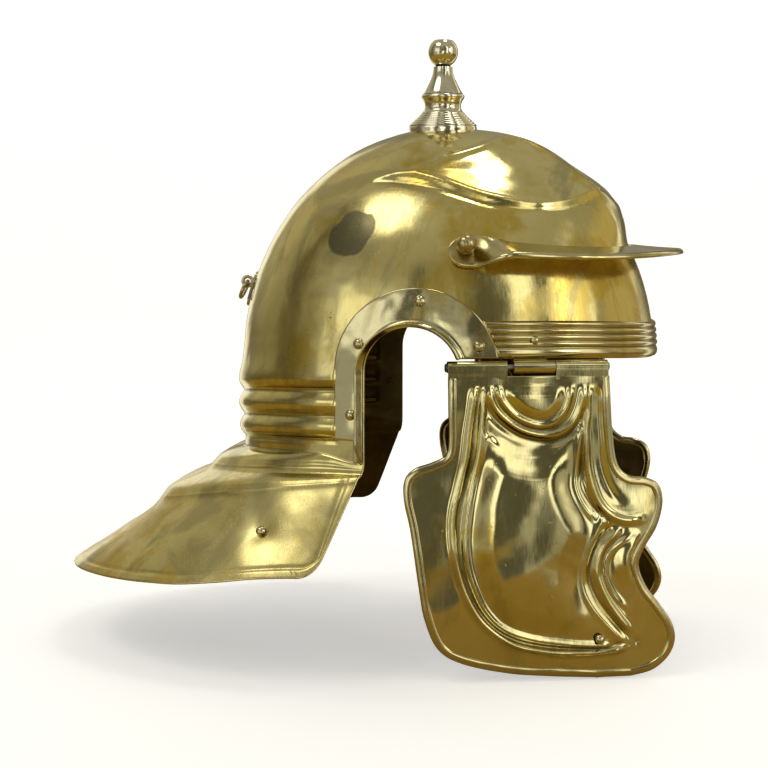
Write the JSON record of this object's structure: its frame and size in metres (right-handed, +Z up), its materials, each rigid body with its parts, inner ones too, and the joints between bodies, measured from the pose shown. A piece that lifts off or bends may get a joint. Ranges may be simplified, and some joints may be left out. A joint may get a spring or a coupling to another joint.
{
  "type": "legionary helmet with hinged cheek plates",
  "caption": "Raised brass helmet with a turned crest knob, brow guard, ribbed band, ear arches, ribbed nape, wide stepped neck guard and two hinged embossed cheek plates.",
  "frame": {"origin": "centre of the head opening in plan, at the height of the bowl's widest section, just under the rim", "axes": "+X towards the front (brow guard), +Y towards the wearer's left, +Z up towards the crest knob"},
  "size_m": [0.3452, 0.2358, 0.3355],
  "materials": {
    "bowl_brass": "hand-polished brass with brushed grain and patina in the grooves",
    "polished_brass": "bright polished brass",
    "trim_brass": "polished brass, dark along its edges",
    "pale_brass": "turned pale brass, nearly silver",
    "fastener_brass": "domed heads with dark rims",
    "dark_metal": "darkened steel",
    "leather": "vegetable-tanned leather, matt",
    "lace": "waxed leather lace"
  },
  "bodies": {
    "helmet": {"bowl": "bowl_brass", "crest_knob": "pale_brass", "knob_washer": "dark_metal", "knob_nut": "dark_metal", "brow_guard": "trim_brass", "brow_guard_studs": "fastener_brass", "stud_washers": "dark_metal", "brow_band": "trim_brass", "ear_guard_right": "polished_brass", "ear_guard_left": "polished_brass", "ear_guard_rivets": "fastener_brass", "hinge_leaf_right": "trim_brass", "hinge_leaf_left": "trim_brass", "hinge_rivets": "fastener_brass", "hinge_pin_right": "dark_metal", "hinge_pin_left": "dark_metal", "neck_tie_eyes": "fastener_brass", "rear_ring_plate": "fastener_brass", "rear_ring_staple": "fastener_brass", "liner_band": "leather", "liner_tongues": "leather", "liner_lace": "lace"},
    "right_cheek": {"cheek_plate_right": "polished_brass", "cheek_binding_right": "trim_brass", "cheek_tie_eye_right": "fastener_brass"},
    "left_cheek": {"cheek_plate_left": "polished_brass", "cheek_binding_left": "trim_brass", "cheek_tie_eye_left": "fastener_brass"},
    "right_cheek_ring": {"cheek_tie_ring_right": "fastener_brass"},
    "left_cheek_ring": {"cheek_tie_ring_left": "fastener_brass"},
    "right_neck_ring": {"neck_tie_ring_right": "fastener_brass"},
    "left_neck_ring": {"neck_tie_ring_left": "fastener_brass"},
    "back_ring": {"rear_ring": "fastener_brass"}
  },
  "joints": [
    {"name": "right_cheek_hinge", "type": "hinge", "parent": "helmet", "child": "right_cheek", "pos_m": [0.02475, -0.09503, 0.002], "axis": [-0.9677, -0.2521, 0], "range_deg": [-20, 100]},
    {"name": "left_cheek_hinge", "type": "hinge", "parent": "helmet", "child": "left_cheek", "pos_m": [0.02475, 0.09503, 0.002], "axis": [0.9677, -0.2521, 0], "range_deg": [-20, 100]},
    {"name": "right_cheek_ring_swing", "type": "hinge", "parent": "right_cheek", "child": "right_cheek_ring", "pos_m": [0.08521, -0.07721, -0.1395], "axis": [0.9677, 0.2521, 0], "range_deg": [0, 100]},
    {"name": "left_cheek_ring_swing", "type": "hinge", "parent": "left_cheek", "child": "left_cheek_ring", "pos_m": [0.08521, 0.07721, -0.1395], "axis": [-0.9677, 0.2521, 0], "range_deg": [0, 100]},
    {"name": "right_neck_ring_swing", "type": "hinge", "parent": "helmet", "child": "right_neck_ring", "pos_m": [-0.08661, -0.09631, -0.08612], "axis": [-0.9457, 0.3252, 0], "range_deg": [-100, 50]},
    {"name": "left_neck_ring_swing", "type": "hinge", "parent": "helmet", "child": "left_neck_ring", "pos_m": [-0.08661, 0.09631, -0.08612], "axis": [0.9457, 0.3252, 0], "range_deg": [-100, 50]},
    {"name": "back_ring_swing", "type": "hinge", "parent": "helmet", "child": "back_ring", "pos_m": [-0.11446, 0, 0.04108], "axis": [0, 1, 0], "range_deg": [-15, 120]}
  ]
}
